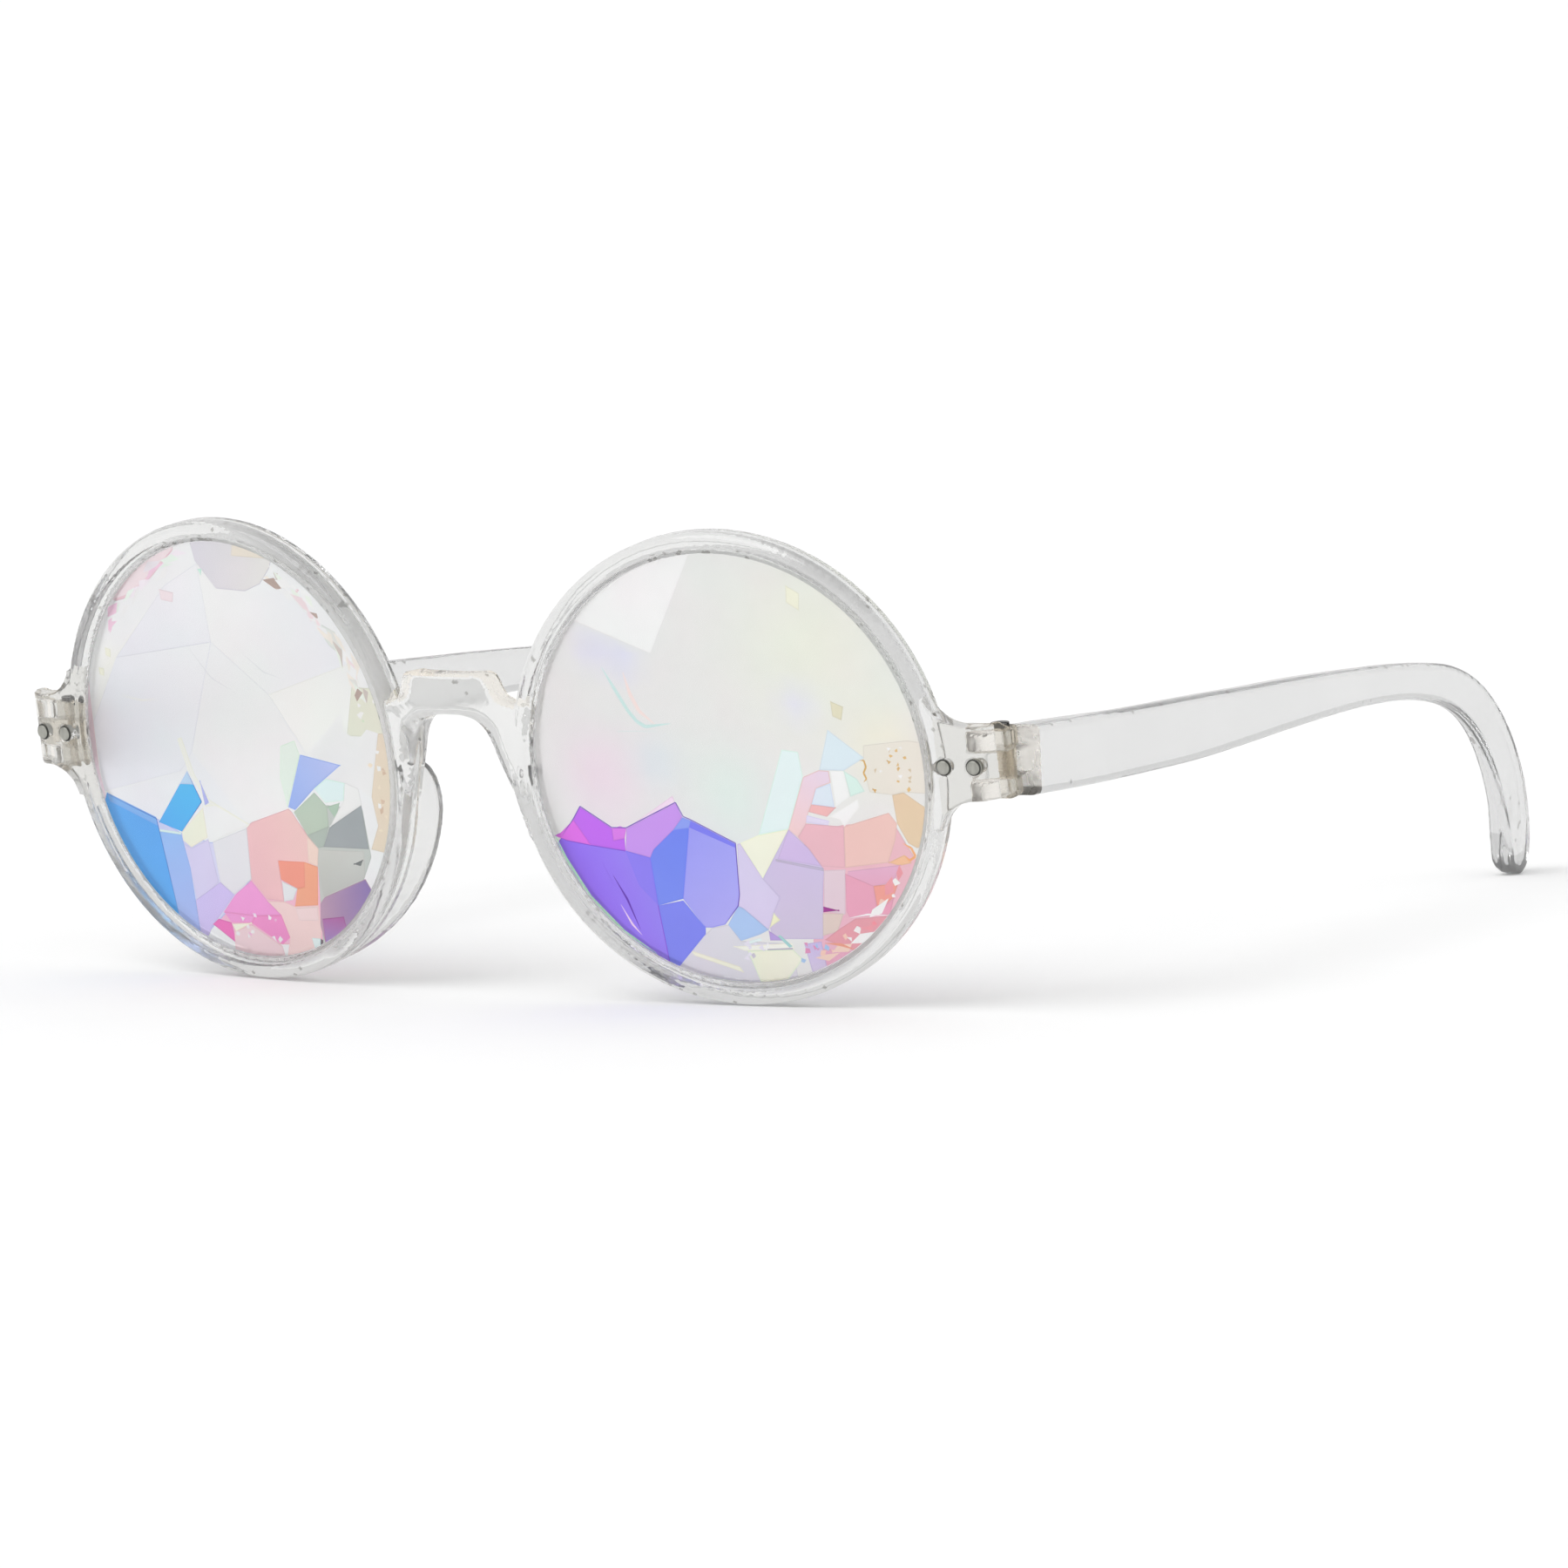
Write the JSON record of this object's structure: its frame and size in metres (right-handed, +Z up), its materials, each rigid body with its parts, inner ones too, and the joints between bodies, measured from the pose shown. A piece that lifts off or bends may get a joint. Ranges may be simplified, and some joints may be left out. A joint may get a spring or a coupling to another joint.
{
  "type": "kaleidoscope glasses",
  "caption": "Round clear glasses with faceted crystal lenses that split the view into a kaleidoscope of images, with folding temples that hook behind the ears.",
  "frame": {"origin": "centre of the bottom of the open glasses, on the table that the rims and the temples' tips stand on", "axes": "+X to the wearer's left, +Y from the front to the temples' tips, +Z up; the front leans 7.3 degrees forward, as open glasses do on a table"},
  "size_m": [0.1426, 0.154, 0.0567],
  "materials": {
    "clear_front": "clear moulded plastic, polished",
    "clear_temple": "clear moulded plastic, polished",
    "crystal_left": "cut crystal with an iridescent film, facets polished",
    "crystal_right": "cut crystal with an iridescent film, facets polished",
    "screw_steel": "dark oiled steel",
    "rivet_steel": "brushed heads"
  },
  "bodies": {
    "front": {"frame_front": "clear_front", "lens_left": "crystal_left", "lens_right": "crystal_right", "hinge_screw_left": "screw_steel", "hinge_screw_right": "screw_steel", "rivet_left_inner": "rivet_steel", "rivet_left_outer": "rivet_steel", "rivet_right_inner": "rivet_steel", "rivet_right_outer": "rivet_steel"},
    "temple_left": {"temple_left": "clear_temple"},
    "temple_right": {"temple_right": "clear_temple"}
  },
  "joints": [
    {"name": "temple_left_fold", "type": "hinge", "parent": "front", "child": "temple_left", "pos_m": [0.06787, -0.05875, 0.0297], "axis": [0, -0.1277, 0.9918], "range_deg": [0, 82.8]},
    {"name": "temple_right_fold", "type": "hinge", "parent": "front", "child": "temple_right", "pos_m": [-0.06787, -0.05875, 0.0297], "axis": [0, 0.1277, -0.9918], "range_deg": [0, 85.4]}
  ]
}
